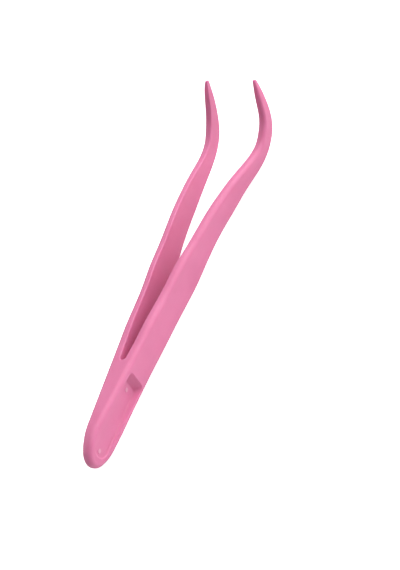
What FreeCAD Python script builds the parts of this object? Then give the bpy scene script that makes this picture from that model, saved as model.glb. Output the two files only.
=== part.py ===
import FreeCAD, Part
import math
import os
import Sketcher

# Curved plastic tweezers, moulded in one piece.
# They lie on their lower narrow side, as they come to rest, with the hooked tips turned up.
# Y runs from the closed root to the tips, X across the two arms and Z up.
# The origin is under the middle of the overall box.
# Sizes ending in _at count from the root end. An outer size is from the middle plane to an outer face.
# Places along an arm, ending in _share, are shares of its run from the joint to the hook's lowest section.

SIZES = [
    ("overall_length", 115.0, "root end to the furthest point of the tips"),
    ("root_width", 10.55, "root from narrow side to narrow side, at the heel"),
    ("root_end_radius", 4.0, "radius of the rounded root end, in the middle"),
    ("root_end_drop", 0.25, "how far the middle of the rounded end lies below the root's middle"),
    ("root_side_radius", 12.0, "radius that leads from the root end into the narrow sides"),
    ("root_end_outer", 1.3, "outer face at the very end of the root"),
    ("edge_round", 1.25, "rounding of the outer edges"),
    ("inner_round", 0.25, "rounding of the edges along the gap"),
    ("heel_flat_end_at", 12.5, "end of the flat under the heel"),
    ("joint_at", 33.0, "where the arms leave the root block"),
    ("joint_top", 10.2, "upper narrow side at the joint"),
    ("joint_bottom", 0.6, "lower narrow side at the joint"),
    ("joint_outer", 3.62, "outer face at the joint"),
    ("joint_thick", 2.4, "arm thickness at the joint"),
    ("joint_lead", 1.0, "length over which the arm first runs on in line with the root"),
    ("slot_bottom_at", 28.3, "closed end of the slot between the arms"),
    ("slot_width", 1.7, "slot width at its round bottom"),
    ("grip_share", 0.148, "grip section"),
    ("grip_top", 10.15, "upper narrow side at the grip"),
    ("grip_bottom", 0.33, "lower narrow side at the grip"),
    ("grip_outer", 4.12, "outer face at the grip"),
    ("grip_thick", 2.2, "arm thickness at the grip"),
    ("belly_share", 0.319, "widest bulge of the lower side"),
    ("belly_top", 9.87, "upper narrow side at the belly"),
    ("belly_bottom", 0.08, "lower narrow side at the belly, touching what the part lies on"),
    ("belly_outer", 4.82, "outer face at the belly"),
    ("arm_thick", 2.1, "arm thickness from the belly to the hook"),
    ("knee_share", 0.422, "where the lower side turns in"),
    ("knee_top", 9.68, "upper narrow side at the knee"),
    ("knee_bottom", 0.33, "lower narrow side at the knee"),
    ("knee_outer", 5.36, "outer face at the knee"),
    ("waist_share", 0.511, "middle of the step in the lower side"),
    ("waist_top", 9.24, "upper narrow side at the waist"),
    ("waist_bottom", 0.93, "lower narrow side at the waist"),
    ("waist_outer", 5.86, "outer face at the waist"),
    ("neck_share", 0.608, "neck behind the bend"),
    ("neck_top", 8.98, "upper narrow side at the neck"),
    ("neck_bottom", 1.23, "lower narrow side at the neck"),
    ("neck_outer", 6.45, "outer face at the neck"),
    ("slope_share", 0.756, "middle of the slope down to the hook"),
    ("slope_top", 7.86, "upper narrow side on the slope"),
    ("slope_bottom", 0.86, "lower narrow side on the slope"),
    ("slope_outer", 7.42, "outer face on the slope"),
    ("bend_share", 0.889, "last upright section before the hook"),
    ("bend_top", 5.95, "upper narrow side at the bend"),
    ("bend_bottom", 0.40, "lower narrow side at the bend"),
    ("bend_outer", 8.30, "outer face at the bend"),
    ("bend_round", 1.1, "outer edge rounding at the bend"),
    ("hook_radius", 11.7, "radius of the hook's centre line"),
    ("hook_lift", 0.05, "lower narrow side at the hook's lowest section"),
    ("hook_width", 4.5, "arm width at the hook's lowest point"),
    ("hook_outer", 9.05, "outer face at the hook's lowest point"),
    ("hook_round", 1.0, "outer edge rounding at the hook's lowest point"),
    ("rise_angle", 20.0, "turn of the hook at the rise"),
    ("rise_width", 4.4, "arm width at the rise"),
    ("rise_outer", 9.3, "outer face at the rise"),
    ("rise_round", 0.9, "outer edge rounding at the rise"),
    ("climb_angle", 42.0, "turn of the hook at the climb"),
    ("climb_width", 4.15, "arm width at the climb"),
    ("climb_outer", 9.48, "outer face at the climb"),
    ("climb_round", 0.8, "outer edge rounding at the climb"),
    ("tip_angle", 63.5, "whole turn of the hook, up to the straight tip"),
    ("tip_width", 3.2, "arm width where the straight tip starts"),
    ("tip_outer", 9.25, "outer face where the straight tip starts"),
    ("tip_thick", 2.0, "arm thickness where the straight tip starts"),
    ("tip_round", 0.65, "outer edge rounding where the straight tip starts"),
    ("tip_length", 8.2, "straight length of the tip"),
    ("nose_share", 0.5, "place of the nose section, as a share of the tip's length"),
    ("nose_width", 2.35, "arm width at the nose"),
    ("nose_outer", 8.7, "outer face at the nose"),
    ("nose_thick", 1.65, "arm thickness at the nose"),
    ("nose_round", 0.5, "outer edge rounding at the nose"),
    ("point_width", 0.9, "tip width at its end"),
    ("point_outer", 7.75, "outer face at the end of the tip"),
    ("point_thick", 0.8, "tip thickness at its end"),
    ("point_round", 0.25, "outer edge rounding at the end of the tip"),
    ("point_inner_round", 0.15, "rounding of the gripping edges at the end of the tip"),
    ("web_thick", 2.5, "plastic left between the two recesses"),
    ("recess_start_at", 2.7, "start of the recess floor, at the root end"),
    ("recess_end_at", 24.2, "end of the recess floor, at the foot of its sloped wall"),
    ("recess_width", 5.7, "width of the recess floor"),
    ("recess_slope", 0.95, "run of the sloped wall for each millimetre of depth"),
    ("recess_draft", 0.35, "run of the side walls for each millimetre of depth"),
    ("recess_corner", 0.6, "corner radius of the recess floor at the sloped wall"),
    ("recess_end_round", 2.6, "corner radius of the recess floor at the root end"),
    ("recess_foot_round", 0.5, "rounding along the foot of the recess walls"),
    ("mark_radius", 0.65, "radius of the round moulding marks on the recess floor"),
    ("mark_rise", 0.12, "how far the moulding marks stand above the floor"),
    ("mark_inset", 1.6, "middle of a moulding mark from its end of the floor"),
]

ROOT_END = "(-sizes.overall_length / 2)"
ROOT_MIDDLE = "(sizes.root_width / 2)"
JOINT_GAP = "(sizes.joint_outer - sizes.joint_thick)"
# The hook turns about a line above its lowest section. The arm dips by hook_lift just behind that
# section, and there it touches what the part lies on.
# Its place follows from the overall length, which ends at the convex edge of the tip.
HOOK_REACH = ("((sizes.hook_radius + sizes.point_width / 2) * sin(sizes.tip_angle)"
              " + sizes.tip_length * cos(sizes.tip_angle))")
HOOK_Y = "(sizes.overall_length / 2 - " + HOOK_REACH + ")"
HOOK_Z = "(sizes.hook_radius + sizes.hook_width / 2 + sizes.hook_lift)"
NEAR = 0.01


def make_sheet(doc):
    """The driving sizes, one row each: name, value, meaning."""
    sheet = doc.addObject("Spreadsheet::Sheet", "sizes")
    for row, (name, number, meaning) in enumerate(SIZES, start=1):
        sheet.set("A%d" % row, name)
        sheet.set("B%d" % row, str(number))
        sheet.setAlias("B%d" % row, name)
        sheet.set("C%d" % row, meaning)
    doc.recompute()


def along(place):
    """Y of a place that is counted from the root end."""
    return "(sizes." + place + " - sizes.overall_length / 2)"


def size_of(item, expression):
    return float(item.evalExpression(expression))


def origin_plane(body, role):
    return [item for item in body.Origin.OriginFeatures if item.Role == role][0]


def new_sketch(body, name, role):
    sketch = body.newObject("Sketcher::SketchObject", name)
    sketch.AttachmentSupport = [(origin_plane(body, role), "")]
    sketch.MapMode = "FlatFace"
    return sketch


def add_feature(body, kind, name, **settings):
    feature = body.newObject(kind, name)
    for key, setting in settings.items():
        setattr(feature, key, setting)
    return feature


def bind(sketch, constraint, expression):
    """Add a constraint and tie its size to an expression."""
    index = sketch.addConstraint(constraint)
    sketch.setExpression("Constraints[%d]" % index, expression)


def bind_x(sketch, edge, point, expression):
    value = size_of(sketch, expression)
    bind(sketch, Sketcher.Constraint("DistanceX", -1, 1, edge, point, value), expression)


def bind_y(sketch, edge, point, expression):
    value = size_of(sketch, expression)
    bind(sketch, Sketcher.Constraint("DistanceY", -1, 1, edge, point, value), expression)


def bind_radius(sketch, edge, expression):
    bind(sketch, Sketcher.Constraint("Radius", edge, size_of(sketch, expression)), expression)


def join(sketch, first, second, smooth=True):
    """The end of one edge is the start of the next."""
    kind = "Tangent" if smooth else "Coincident"
    sketch.addConstraint(Sketcher.Constraint(kind, first, 2, second, 1))


def add_line(sketch, start, end):
    return sketch.addGeometry(Part.LineSegment(FreeCAD.Vector(*start), FreeCAD.Vector(*end)))


def add_arc(sketch, centre, radius, start_angle, end_angle):
    circle = Part.Circle(FreeCAD.Vector(*centre), FreeCAD.Vector(0, 0, 1), radius)
    return sketch.addGeometry(Part.ArcOfCircle(circle, start_angle, end_angle))


def draw_polygon(sketch, corners):
    """Closed outline of straight lines through corners given as pairs of expressions."""
    points = [(size_of(sketch, x), size_of(sketch, y)) for x, y in corners]
    count = len(points)
    lines = [add_line(sketch, points[i], points[(i + 1) % count]) for i in range(count)]
    for i in range(count):
        join(sketch, lines[i], lines[(i + 1) % count], smooth=False)
        bind_x(sketch, lines[i], 1, corners[i][0])
        bind_y(sketch, lines[i], 1, corners[i][1])


def draw_rounded_box(sketch, left, right, bottom, top, left_round, right_round):
    """Closed outline with four rounded corners, every size given as an expression."""
    x0, x1 = size_of(sketch, left), size_of(sketch, right)
    y0, y1 = size_of(sketch, bottom), size_of(sketch, top)
    r0, r1 = size_of(sketch, left_round), size_of(sketch, right_round)
    quarter = math.pi / 2
    lower = add_line(sketch, (x0 + r0, y0), (x1 - r1, y0))
    lower_right = add_arc(sketch, (x1 - r1, y0 + r1), r1, -quarter, 0)
    right_side = add_line(sketch, (x1, y0 + r1), (x1, y1 - r1))
    upper_right = add_arc(sketch, (x1 - r1, y1 - r1), r1, 0, quarter)
    upper = add_line(sketch, (x1 - r1, y1), (x0 + r0, y1))
    upper_left = add_arc(sketch, (x0 + r0, y1 - r0), r0, quarter, 2 * quarter)
    left_side = add_line(sketch, (x0, y1 - r0), (x0, y0 + r0))
    lower_left = add_arc(sketch, (x0 + r0, y0 + r0), r0, 2 * quarter, 3 * quarter)
    outline = [lower, lower_right, right_side, upper_right, upper, upper_left, left_side, lower_left]
    for i in range(len(outline)):
        join(sketch, outline[i], outline[(i + 1) % len(outline)])
    sketch.addConstraint(Sketcher.Constraint("Horizontal", lower))
    sketch.addConstraint(Sketcher.Constraint("Horizontal", upper))
    sketch.addConstraint(Sketcher.Constraint("Vertical", left_side))
    sketch.addConstraint(Sketcher.Constraint("Vertical", right_side))
    bind_radius(sketch, lower_right, right_round)
    bind_radius(sketch, upper_right, right_round)
    bind_radius(sketch, upper_left, left_round)
    bind_radius(sketch, lower_left, left_round)
    bind_x(sketch, left_side, 1, left)
    bind_x(sketch, right_side, 1, right)
    bind_y(sketch, lower, 1, bottom)
    bind_y(sketch, upper, 1, top)


def edges_where(feature, test):
    """Names of a feature's edges for which a test of their sample points holds."""
    names = []
    for index, edge in enumerate(feature.Shape.Edges, start=1):
        if test(edge.discretize(7)):
            names.append("Edge%d" % index)
    return names


def draw_root_outline(sketch):
    """Root from its rounded end to the joint, with a flat heel and a shallow hollow below."""
    y_end = size_of(sketch, ROOT_END)
    y_joint = size_of(sketch, along("joint_at"))
    y_flat = size_of(sketch, along("heel_flat_end_at"))
    z_top = size_of(sketch, "sizes.joint_top")
    z_bottom = size_of(sketch, "sizes.joint_bottom")
    half = size_of(sketch, ROOT_MIDDLE)
    r_end = size_of(sketch, "sizes.root_end_radius")
    r_side = size_of(sketch, "sizes.root_side_radius")
    z_nose = half - size_of(sketch, "sizes.root_end_drop")
    upper_rise, lower_rise = r_side - 2 * half + z_nose, r_side - z_nose
    upper_reach = math.sqrt((r_side - r_end) ** 2 - upper_rise ** 2)
    lower_reach = math.sqrt((r_side - r_end) ** 2 - lower_rise ** 2)
    y_upper, y_lower = y_end + r_end + upper_reach, y_end + r_end + lower_reach
    upper_lean = math.atan2(upper_reach, upper_rise)
    lower_lean = math.atan2(lower_reach, lower_rise)
    run = y_joint - y_flat
    r_hollow = (run ** 2 + z_bottom ** 2) / (2 * z_bottom)
    sweep = math.asin(run / r_hollow)
    up = math.pi / 2

    heel = add_line(sketch, (y_lower, 0), (y_flat, 0))
    hollow = add_arc(sketch, (y_joint, z_bottom - r_hollow), r_hollow, up, up + sweep)
    joint = add_line(sketch, (y_joint, z_bottom), (y_joint, z_top))
    upper = add_line(sketch, (y_joint, z_top), (y_upper, 2 * half))
    upper_side = add_arc(sketch, (y_upper, 2 * half - r_side), r_side, up, up + upper_lean)
    nose = add_arc(sketch, (y_end + r_end, z_nose), r_end, up + upper_lean, 3 * up - lower_lean)
    lower_side = add_arc(sketch, (y_lower, r_side), r_side, 3 * up - lower_lean, 3 * up)

    sketch.addConstraint(Sketcher.Constraint("Coincident", heel, 2, hollow, 2))
    sketch.addConstraint(Sketcher.Constraint("Coincident", hollow, 1, joint, 1))
    join(sketch, joint, upper, smooth=False)
    join(sketch, upper, upper_side)
    join(sketch, upper_side, nose)
    join(sketch, nose, lower_side)
    join(sketch, lower_side, heel)
    sketch.addConstraint(Sketcher.Constraint("Horizontal", heel))
    sketch.addConstraint(Sketcher.Constraint("Vertical", joint))
    bind_y(sketch, heel, 1, "0")
    bind_x(sketch, heel, 2, along("heel_flat_end_at"))
    bind_x(sketch, joint, 1, along("joint_at"))
    bind_y(sketch, joint, 1, "sizes.joint_bottom")
    bind_y(sketch, joint, 2, "sizes.joint_top")
    bind_x(sketch, hollow, 3, along("joint_at"))
    bind_radius(sketch, nose, "sizes.root_end_radius")
    bind_x(sketch, nose, 3, ROOT_END + " + sizes.root_end_radius")
    bind_y(sketch, nose, 3, ROOT_MIDDLE + " - sizes.root_end_drop")
    bind_radius(sketch, upper_side, "sizes.root_side_radius")
    bind_radius(sketch, lower_side, "sizes.root_side_radius")
    bind_y(sketch, upper_side, 3, "sizes.root_width - sizes.root_side_radius")


def make_root(body):
    """Wedge-shaped block with a rounded end and rounded outer edges, up to the joint."""
    joint = along("joint_at")
    taper = new_sketch(body, "root_taper", "XY_Plane")
    draw_polygon(taper, [("-sizes.root_end_outer", ROOT_END), ("sizes.root_end_outer", ROOT_END),
                         ("sizes.joint_outer", joint), ("-sizes.joint_outer", joint)])
    block = add_feature(body, "PartDesign::Pad", "root_block", Profile=taper)
    block.setExpression("Length", "sizes.root_width")
    body.Document.recompute()

    # Everything between the outline and a larger box round it is cut away
    outline = new_sketch(body, "root_outline", "YZ_Plane")
    draw_root_outline(outline)
    low, high = "-sizes.root_width", "2 * sizes.root_width"
    back, front = ROOT_END + " - sizes.root_width", joint + " + sizes.root_width"
    draw_polygon(outline, [(back, low), (front, low), (front, high), (back, high)])
    form = add_feature(body, "PartDesign::Pocket", "root_form", Profile=outline,
                       Type="ThroughAll", Midplane=True)
    body.Document.recompute()

    y_joint = size_of(body, joint)

    def is_outer_edge(points):
        return all(abs(p.x) > 1 for p in points) and points[3].y < y_joint - NEAR

    edges = add_feature(body, "PartDesign::Fillet", "root_edges",
                        Base=(form, edges_where(form, is_outer_edge)))
    edges.setExpression("Radius", "sizes.edge_round")
    body.Document.recompute()


def draw_slot(sketch):
    """Slot with a round bottom that widens to the gap at the joint."""
    x_joint = size_of(sketch, JOINT_GAP)
    y_joint = size_of(sketch, along("joint_at"))
    radius = size_of(sketch, "sizes.slot_width / 2")
    y_centre = size_of(sketch, along("slot_bottom_at")) + radius
    bottom = add_arc(sketch, (0, y_centre), radius, math.pi, 2 * math.pi)
    right = add_line(sketch, (radius, y_centre), (x_joint, y_joint))
    mouth = add_line(sketch, (x_joint, y_joint), (-x_joint, y_joint))
    left = add_line(sketch, (-x_joint, y_joint), (-radius, y_centre))
    join(sketch, bottom, right)
    join(sketch, right, mouth, smooth=False)
    join(sketch, mouth, left, smooth=False)
    join(sketch, left, bottom)
    bind_radius(sketch, bottom, "sizes.slot_width / 2")
    bind_x(sketch, bottom, 3, "0")
    bind_y(sketch, bottom, 3, along("slot_bottom_at") + " + sizes.slot_width / 2")
    bind_x(sketch, mouth, 1, JOINT_GAP)
    bind_y(sketch, mouth, 1, along("joint_at"))
    bind_x(sketch, mouth, 2, "-" + JOINT_GAP)
    bind_y(sketch, mouth, 2, along("joint_at"))


def make_slot(body):
    """Closed end of the gap, cut into the root block, with its edges rounded like the arms' edges."""
    sketch = new_sketch(body, "slot_outline", "XY_Plane")
    draw_slot(sketch)
    slot = add_feature(body, "PartDesign::Pocket", "slot", Profile=sketch,
                       Type="ThroughAll", Midplane=True)
    body.Document.recompute()

    x_gap = size_of(body, JOINT_GAP) + NEAR
    y_bottom = size_of(body, along("slot_bottom_at")) - NEAR
    y_joint = size_of(body, along("joint_at")) - NEAR
    z_middle = size_of(body, ROOT_MIDDLE)

    def is_slot_edge(points):
        in_slot = all(abs(p.x) < x_gap and p.y > y_bottom for p in points)
        at_side = all(abs(p.z - z_middle) > z_middle / 2 for p in points)
        return in_slot and at_side and points[3].y < y_joint

    edges = add_feature(body, "PartDesign::Fillet", "slot_edges",
                        Base=(slot, edges_where(slot, is_slot_edge)))
    edges.setExpression("Radius", "sizes.inner_round")
    body.Document.recompute()


def place_section(sketch, y, z, angle):
    """Stand a section at y and z, leaning by an angle about the X direction."""
    sketch.AttachmentOffset = FreeCAD.Placement(
        FreeCAD.Vector(0, 0, 0), FreeCAD.Rotation(FreeCAD.Vector(1, 0, 0), 1))
    sketch.setExpression("AttachmentOffset.Base.y", z)
    sketch.setExpression("AttachmentOffset.Base.z", "-" + y)
    sketch.setExpression("AttachmentOffset.Rotation.Angle", angle)


def joint_face(body):
    """Face of the root to the right of the slot's mouth, on which the right arm starts."""
    y_joint = size_of(body, along("joint_at"))
    for index, face in enumerate(body.Tip.Shape.Faces, start=1):
        centre = face.CenterOfMass
        if centre.x > 0 and abs(centre.y - y_joint) < NEAR:
            return (body.Tip, ["Face%d" % index])
    raise RuntimeError("the root has no face for the arm")


def upright_section(body, name, outer_round="sizes.edge_round", thick="sizes.arm_thick"):
    """Section of the right arm square to Y, between its lower and upper narrow side."""
    place = along("joint_at") + " + sizes." + name + "_share * (" + HOOK_Y + " - " + along("joint_at") + ")"
    return draw_section(body, name, place, "sizes." + name + "_outer", outer_round, thick)


def lead_section(body):
    """Section just past the joint, which keeps the arm in line with the root's outer face there."""
    taper = "(sizes.joint_outer - sizes.root_end_outer) / sizes.joint_at"
    place = along("joint_at") + " + sizes.joint_lead"
    outer = "(sizes.joint_outer + sizes.joint_lead * " + taper + ")"
    return draw_section(body, "joint", place, outer, "sizes.edge_round", "sizes.joint_thick")


def draw_section(body, name, place, outer, outer_round, thick):
    sketch = new_sketch(body, name + "_section", "XZ_Plane")
    place_section(sketch, "(" + place + ")", "0", "0")
    draw_rounded_box(sketch, "(" + outer + " - " + thick + ")", outer,
                     "sizes." + name + "_bottom", "sizes." + name + "_top",
                     "sizes.inner_round", outer_round)
    return sketch


def hook_section(body, name, angle, forward="0", thick="sizes.arm_thick",
                 inner_round="sizes.inner_round"):
    """Section of the right arm square to the hook's centre line, turned about the hook's axis."""
    sketch = new_sketch(body, name + "_section", "XZ_Plane")
    place_section(sketch, "(" + HOOK_Y + " + " + forward + " * cos(" + angle + "))",
                  HOOK_Z + " + " + forward + " * sin(" + angle + ")", angle)
    outer = "sizes." + name + "_outer"
    half = "sizes." + name + "_width / 2"
    draw_rounded_box(sketch, "(" + outer + " - " + thick + ")", outer,
                     "-(sizes.hook_radius + " + half + ")", "-(sizes.hook_radius - " + half + ")",
                     inner_round, "sizes." + name + "_round")
    return sketch


def make_arms(body):
    """Right arm as one smooth loft from the root to the point of its hook, and its mirror image."""
    start = joint_face(body)
    sections = [
        lead_section(body),
        upright_section(body, "grip", thick="sizes.grip_thick"),
        upright_section(body, "belly"),
        upright_section(body, "knee"),
        upright_section(body, "waist"),
        upright_section(body, "neck"),
        upright_section(body, "slope"),
        upright_section(body, "bend", outer_round="sizes.bend_round"),
        hook_section(body, "hook", "0"),
        hook_section(body, "rise", "sizes.rise_angle"),
        hook_section(body, "climb", "sizes.climb_angle"),
        hook_section(body, "tip", "sizes.tip_angle", thick="sizes.tip_thick"),
        hook_section(body, "nose", "sizes.tip_angle", "sizes.nose_share * sizes.tip_length",
                     "sizes.nose_thick"),
        hook_section(body, "point", "sizes.tip_angle", "sizes.tip_length", "sizes.point_thick",
                     "sizes.point_inner_round"),
    ]
    body.Document.recompute()
    arm = add_feature(body, "PartDesign::AdditiveLoft", "right_arm", Profile=start,
                      Sections=[(section, "") for section in sections])
    body.Document.recompute()
    other = add_feature(body, "PartDesign::Mirrored", "left_arm", Originals=[arm],
                        MirrorPlane=(origin_plane(body, "YZ_Plane"), [""]))
    body.Tip = other
    body.Document.recompute()


def recess_outline(body, name, distance, rise):
    """Outline of the recess at a distance from the middle plane, grown by its walls' slopes."""
    sketch = new_sketch(body, name, "YZ_Plane")
    sketch.setExpression("AttachmentOffset.Base.z", distance)
    draft = "sizes.recess_draft * " + rise
    half = "sizes.recess_width / 2"
    draw_rounded_box(sketch, along("recess_start_at") + " - " + draft,
                     along("recess_end_at") + " + sizes.recess_slope * " + rise,
                     ROOT_MIDDLE + " - " + half + " - " + draft,
                     ROOT_MIDDLE + " + " + half + " + " + draft,
                     "(sizes.recess_end_round + " + draft + ")",
                     "(sizes.recess_corner + " + draft + ")")
    return sketch


def make_recesses(body):
    """Long recess in each outer face of the root, running out towards the root end."""
    floor = recess_outline(body, "recess_floor", "sizes.web_thick / 2", "0")
    rim = recess_outline(body, "recess_rim", "sizes.joint_outer", "(sizes.joint_outer - sizes.web_thick / 2)")
    body.Document.recompute()
    recess = add_feature(body, "PartDesign::SubtractiveLoft", "right_recess", Profile=floor,
                         Sections=[(rim, "")], Ruled=True)
    body.Document.recompute()
    other = add_feature(body, "PartDesign::Mirrored", "left_recess", Originals=[recess],
                        MirrorPlane=(origin_plane(body, "YZ_Plane"), [""]))
    body.Tip = other
    body.Document.recompute()

    x_floor = size_of(body, "sizes.web_thick / 2")
    y_joint = size_of(body, along("joint_at"))

    def is_foot(points):
        return all(abs(abs(p.x) - x_floor) < NEAR and p.y < y_joint for p in points)

    edges = add_feature(body, "PartDesign::Fillet", "recess_foot",
                        Base=(other, edges_where(other, is_foot)))
    edges.setExpression("Radius", "sizes.recess_foot_round")
    body.Document.recompute()


def make_marks(body):
    """Low round moulding mark at each end of the recess floors, on their middle line."""
    sketch = new_sketch(body, "mark_outlines", "YZ_Plane")
    floor = "sizes.web_thick / 2"
    sketch.setExpression("AttachmentOffset.Base.z", floor)
    radius = size_of(sketch, "sizes.mark_radius")
    z_middle = size_of(sketch, ROOT_MIDDLE)
    for place in (along("recess_start_at") + " + sizes.mark_inset",
                  along("recess_end_at") + " - sizes.mark_inset"):
        circle = Part.Circle(FreeCAD.Vector(size_of(sketch, place), z_middle, 0),
                             FreeCAD.Vector(0, 0, 1), radius)
        mark = sketch.addGeometry(circle)
        bind_radius(sketch, mark, "sizes.mark_radius")
        bind_x(sketch, mark, 3, place)
        bind_y(sketch, mark, 3, ROOT_MIDDLE)
    marks = add_feature(body, "PartDesign::Pad", "right_marks", Profile=sketch)
    marks.setExpression("Length", "sizes.mark_rise")
    body.Document.recompute()
    other = add_feature(body, "PartDesign::Mirrored", "left_marks", Originals=[marks],
                        MirrorPlane=(origin_plane(body, "YZ_Plane"), [""]))
    body.Tip = other
    body.Document.recompute()


def main():
    doc = FreeCAD.newDocument("curved_tweezers")
    make_sheet(doc)
    body = doc.addObject("PartDesign::Body", "tweezers")
    body.Label = "tweezers"
    make_root(body)
    make_slot(body)
    make_arms(body)
    make_recesses(body)
    make_marks(body)
    doc.recompute()
    for item in doc.Objects:
        if "Invalid" in item.State or "Error" in item.State:
            raise RuntimeError(item.Name + " failed to compute")
    if body.Shape.isNull() or not body.Shape.isValid():
        raise RuntimeError("the tweezers are not a valid shape")
    if len(body.Shape.Solids) != 1:
        raise RuntimeError("the tweezers are not one solid")
    os.makedirs("parts", exist_ok=True)
    body.Shape.exportStep("parts/" + body.Label + ".step")
    box = body.Shape.BoundBox
    print("volume", round(body.Shape.Volume, 1), "box", box)


main()
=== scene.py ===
import bpy
from mathutils import Matrix, Vector


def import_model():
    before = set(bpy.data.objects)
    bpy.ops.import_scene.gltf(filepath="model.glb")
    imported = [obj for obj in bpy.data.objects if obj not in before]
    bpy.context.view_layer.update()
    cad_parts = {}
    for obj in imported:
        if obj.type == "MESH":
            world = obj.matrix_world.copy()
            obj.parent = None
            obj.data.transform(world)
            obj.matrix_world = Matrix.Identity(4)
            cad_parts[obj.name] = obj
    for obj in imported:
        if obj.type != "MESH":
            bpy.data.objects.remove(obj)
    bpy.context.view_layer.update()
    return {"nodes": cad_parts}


# Curved tweezers, moulded in one piece of satin pink plastic, on a plain white table.
# Lengths are in metres, apart from the camera's lens and sensor, which are in millimetres.

SPOT = Vector((0.0, -0.0005, 0.0055))    # point that the camera looks at
TO_CAMERA = Vector((0.550, -0.4906, 0.6764)).normalized()
PICTURE_UP = Vector((-0.031, 0.797, 0.603))
DISTANCE = 0.643                         # from the spot to the camera
LENS = 159.0
SENSOR = 36.0                            # the longer side, which is the picture's height
SHIFT_X = 0.0517                         # in picture heights: the object stands left of the middle
SHIFT_Y = -0.0108
CLIP_NEAR = 0.01
CLIP_FAR = 20.0

# Colour clouds of the plastic, from the darker to the paler pink
PINK_DARK = (0.685, 0.183, 0.350, 1.0)
PINK_PALE = (0.745, 0.213, 0.395, 1.0)
CLOUD_SCALE = 90.0
GLOSS_SCALE = 260.0
GRAIN_SCALE = 2600.0
GRAIN_DEPTH = 0.00004
GRAIN_STRENGTH = 0.2
ROUGHNESS_LOW = 0.36
ROUGHNESS_HIGH = 0.44
# Noise keeps mostly between these values, so they are the ends of its ramps
NOISE_LOW = 0.3
NOISE_HIGH = 0.7

# Four moulding marks in the recesses, each with a painted highlight that pales its colour in place
# of a glint. They lie 4.3 mm and 22.6 mm from the root end, 1.37 mm to each side of the middle
# plane, at mid height. They are mirror images across MARKS_MIDDLE and X = 0.
MARKS_MIDDLE = -0.04405
MARK_PLACE = (0.00137, 0.00915, 0.005275)
MARK_RADIUS = 0.00065
MARK_GLINT_FADE = (0.75, 1.05)                 # where a mark's painted highlight starts to fade and ends, in radii
# Painted highlight on the marks: the pale colour mixed into the plastic in place of their glints,
# and how much of it
MARK_GLINT_COLOUR = (0.80, 0.48, 0.60, 1.0)
MARK_GLINT_STRENGTH = 0.45

# Broad soft lights of the studio: direction that each comes from, and its strength
SOFT_LIGHTS = (
    (Vector((0.45, 0.80, 0.35)), 3.2),
    (Vector((0.5, 0.0, 0.87)), 0.6),
    (Vector((-0.87, 0.0, 0.5)), 1.1),
    (Vector((0.35, 0.35, 0.87)), 0.9),
)
SOFTNESS = 4.0                           # power of the cosine: lower is broader

PAPER_DARK = (0.90, 0.90, 0.90, 1.0)
PAPER_PALE = (0.92, 0.92, 0.92, 1.0)
PAPER_CLOUD_SCALE = 6.0
WHITE = (1.0, 1.0, 1.0, 1.0)
SHEET_SIZE = 6.0
TABLE_DEPTH = 0.00002                    # how far the table lies below the backdrop
BACKDROP_GLOW = 0.75
DOME_RADIUS = 2.5
DOME_GLOW = 1.0


def new_material(name):
    material = bpy.data.materials.new(name)
    material.use_nodes = True
    tree = material.node_tree
    shader = tree.nodes["Principled BSDF"]
    return material, tree, shader


def add_node(tree, kind, **settings):
    node = tree.nodes.new(kind)
    for key, setting in settings.items():
        setattr(node, key, setting)
    return node


def add_noise(tree, place, scale):
    noise = add_node(tree, "ShaderNodeTexNoise")
    noise.inputs["Scale"].default_value = scale
    tree.links.new(place.outputs["Object"], noise.inputs["Vector"])
    return noise


def mark_glint_mask(tree, place):
    """Painted highlight on the round moulding marks: full over each mark, fading out at its rim."""
    folded = add_node(tree, "ShaderNodeVectorMath", operation="ABSOLUTE")
    middle = add_node(tree, "ShaderNodeVectorMath", operation="SUBTRACT")
    middle.inputs[1].default_value = (0.0, MARKS_MIDDLE, 0.0)
    tree.links.new(place.outputs["Object"], middle.inputs[0])
    tree.links.new(middle.outputs["Vector"], folded.inputs[0])
    reach = add_node(tree, "ShaderNodeVectorMath", operation="DISTANCE")
    reach.inputs[1].default_value = MARK_PLACE
    tree.links.new(folded.outputs["Vector"], reach.inputs[0])
    fade = add_node(tree, "ShaderNodeMapRange", interpolation_type="SMOOTHSTEP")
    fade.inputs["From Min"].default_value = MARK_GLINT_FADE[0] * MARK_RADIUS
    fade.inputs["From Max"].default_value = MARK_GLINT_FADE[1] * MARK_RADIUS
    fade.inputs["To Min"].default_value = MARK_GLINT_STRENGTH
    fade.inputs["To Max"].default_value = 0.0
    tree.links.new(reach.outputs["Value"], fade.inputs["Value"])
    return fade.outputs["Result"]


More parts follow.
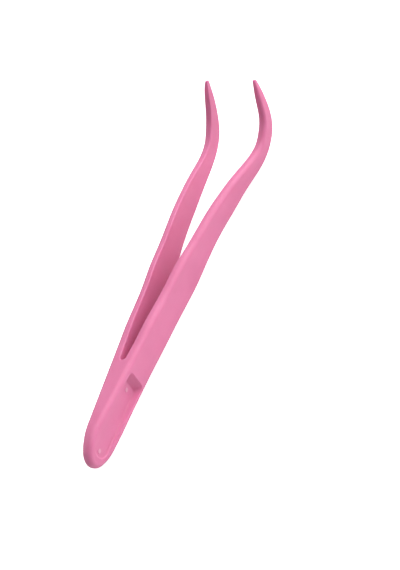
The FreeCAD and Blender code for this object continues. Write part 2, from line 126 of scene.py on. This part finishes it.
def pink_plastic():
    """Satin moulded plastic: a cloudy pink with slightly uneven gloss, a fine moulded grain and a
    painted highlight on each moulding mark.
    """
    material, tree, shader = new_material("pink_plastic")
    place = add_node(tree, "ShaderNodeTexCoord")
    cloud = add_noise(tree, place, CLOUD_SCALE)
    cloud.inputs["Detail"].default_value = 4.0
    cloud.inputs["Roughness"].default_value = 0.55
    tint = add_node(tree, "ShaderNodeValToRGB")
    tint.color_ramp.elements[0].position = NOISE_LOW
    tint.color_ramp.elements[0].color = PINK_DARK
    tint.color_ramp.elements[1].position = NOISE_HIGH
    tint.color_ramp.elements[1].color = PINK_PALE
    tree.links.new(cloud.outputs["Fac"], tint.inputs["Fac"])
    # Painted highlight: the plastic is paled on the moulding marks to stand in for their glints
    paint_glint = add_node(tree, "ShaderNodeMix", data_type="RGBA")
    paint_glint.inputs["B"].default_value = MARK_GLINT_COLOUR
    tree.links.new(mark_glint_mask(tree, place), paint_glint.inputs["Factor"])
    tree.links.new(tint.outputs["Color"], paint_glint.inputs["A"])
    tree.links.new(paint_glint.outputs["Result"], shader.inputs["Base Color"])

    sheen = add_noise(tree, place, GLOSS_SCALE)
    sheen.inputs["Detail"].default_value = 3.0
    gloss = add_node(tree, "ShaderNodeMapRange")
    gloss.inputs["From Min"].default_value = NOISE_LOW
    gloss.inputs["From Max"].default_value = NOISE_HIGH
    gloss.inputs["To Min"].default_value = ROUGHNESS_LOW
    gloss.inputs["To Max"].default_value = ROUGHNESS_HIGH
    tree.links.new(sheen.outputs["Fac"], gloss.inputs["Value"])
    tree.links.new(gloss.outputs["Result"], shader.inputs["Roughness"])

    grain = add_noise(tree, place, GRAIN_SCALE)
    grain.inputs["Detail"].default_value = 2.0
    bump = add_node(tree, "ShaderNodeBump")
    bump.inputs["Strength"].default_value = GRAIN_STRENGTH
    bump.inputs["Distance"].default_value = GRAIN_DEPTH
    tree.links.new(grain.outputs["Fac"], bump.inputs["Height"])
    tree.links.new(bump.outputs["Normal"], shader.inputs["Normal"])

    shader.inputs["IOR"].default_value = 1.49
    shader.inputs["Specular IOR Level"].default_value = 0.5
    shader.inputs["Subsurface Weight"].default_value = 0.5
    shader.inputs["Subsurface Radius"].default_value = (1.0, 0.8, 0.9)
    shader.inputs["Subsurface Scale"].default_value = 0.002
    return material


def white_paper(name, glow):
    """Matt white paper with faint clouds, which may glow so that it shows as plain white."""
    material, tree, shader = new_material(name)
    place = add_node(tree, "ShaderNodeTexCoord")
    cloud = add_noise(tree, place, PAPER_CLOUD_SCALE)
    tint = add_node(tree, "ShaderNodeValToRGB")
    tint.color_ramp.elements[0].color = PAPER_DARK
    tint.color_ramp.elements[1].color = PAPER_PALE
    tree.links.new(cloud.outputs["Fac"], tint.inputs["Fac"])
    tree.links.new(tint.outputs["Color"], shader.inputs["Base Color"])
    shader.inputs["Roughness"].default_value = 0.8
    shader.inputs["Emission Color"].default_value = WHITE
    shader.inputs["Emission Strength"].default_value = glow
    return material


def make_sheet(name, height, glow):
    bpy.ops.mesh.primitive_plane_add(size=SHEET_SIZE, location=(0.0, 0.0, height))
    sheet = bpy.context.object
    sheet.name = name
    sheet.data.materials.append(white_paper(name, glow))
    return sheet


def only_seen(thing):
    """The picture shows the thing, and it neither lights nor shades anything."""
    thing.visible_diffuse = False
    thing.visible_glossy = False
    thing.visible_transmission = False
    thing.visible_shadow = False


def make_floor():
    """White table that lights the object from below, under a bright sheet that the picture shows."""
    table = make_sheet("table", -TABLE_DEPTH, 0.0)
    table.visible_camera = False
    only_seen(make_sheet("backdrop", 0.0, BACKDROP_GLOW))


def make_dome():
    """White studio walls round the table, for views so low that they look over its far edge."""
    bpy.ops.mesh.primitive_uv_sphere_add(segments=48, ring_count=24, radius=DOME_RADIUS)
    dome = bpy.context.object
    dome.name = "dome"
    dome.data.materials.append(white_paper("dome", DOME_GLOW))
    only_seen(dome)


def make_lights():
    """Surrounding light made of a few broad lobes that fade out smoothly."""
    world = bpy.data.worlds.new("studio")
    world.use_nodes = True
    tree = world.node_tree
    place = add_node(tree, "ShaderNodeTexCoord")
    total = None
    for direction, strength in SOFT_LIGHTS:
        facing = add_node(tree, "ShaderNodeVectorMath", operation="DOT_PRODUCT")
        facing.inputs[1].default_value = direction.normalized()
        tree.links.new(place.outputs["Generated"], facing.inputs[0])
        front = add_node(tree, "ShaderNodeMath", operation="MAXIMUM")
        front.inputs[1].default_value = 0.0
        tree.links.new(facing.outputs["Value"], front.inputs[0])
        fade = add_node(tree, "ShaderNodeMath", operation="POWER")
        fade.inputs[1].default_value = SOFTNESS
        tree.links.new(front.outputs["Value"], fade.inputs[0])
        lobe = add_node(tree, "ShaderNodeMath", operation="MULTIPLY_ADD")
        lobe.inputs[1].default_value = strength
        lobe.inputs[2].default_value = 0.0
        tree.links.new(fade.outputs["Value"], lobe.inputs[0])
        if total is not None:
            tree.links.new(total, lobe.inputs[2])
        total = lobe.outputs["Value"]
    background = tree.nodes["Background"]
    background.inputs["Color"].default_value = WHITE
    tree.links.new(total, background.inputs["Strength"])
    bpy.context.scene.world = world


def make_camera():
    data = bpy.data.cameras.new("camera")
    data.lens = LENS
    data.sensor_width = SENSOR
    data.shift_x = SHIFT_X
    data.shift_y = SHIFT_Y
    data.dof.use_dof = False
    data.clip_start, data.clip_end = CLIP_NEAR, CLIP_FAR
    camera = bpy.data.objects.new("camera", data)
    bpy.context.scene.collection.objects.link(camera)
    right = PICTURE_UP.cross(TO_CAMERA).normalized()
    up = TO_CAMERA.cross(right).normalized()
    axes = Matrix((right, up, TO_CAMERA)).transposed().to_4x4()
    camera.matrix_world = Matrix.Translation(SPOT + TO_CAMERA * DISTANCE) @ axes
    bpy.context.scene.camera = camera


def main():
    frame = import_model()
    plastic = pink_plastic()
    for slot in frame["nodes"]["tweezers"].material_slots:
        slot.material = plastic
    make_floor()
    make_dome()
    make_lights()
    make_camera()
    bpy.context.scene.view_settings.view_transform = "Standard"


main()
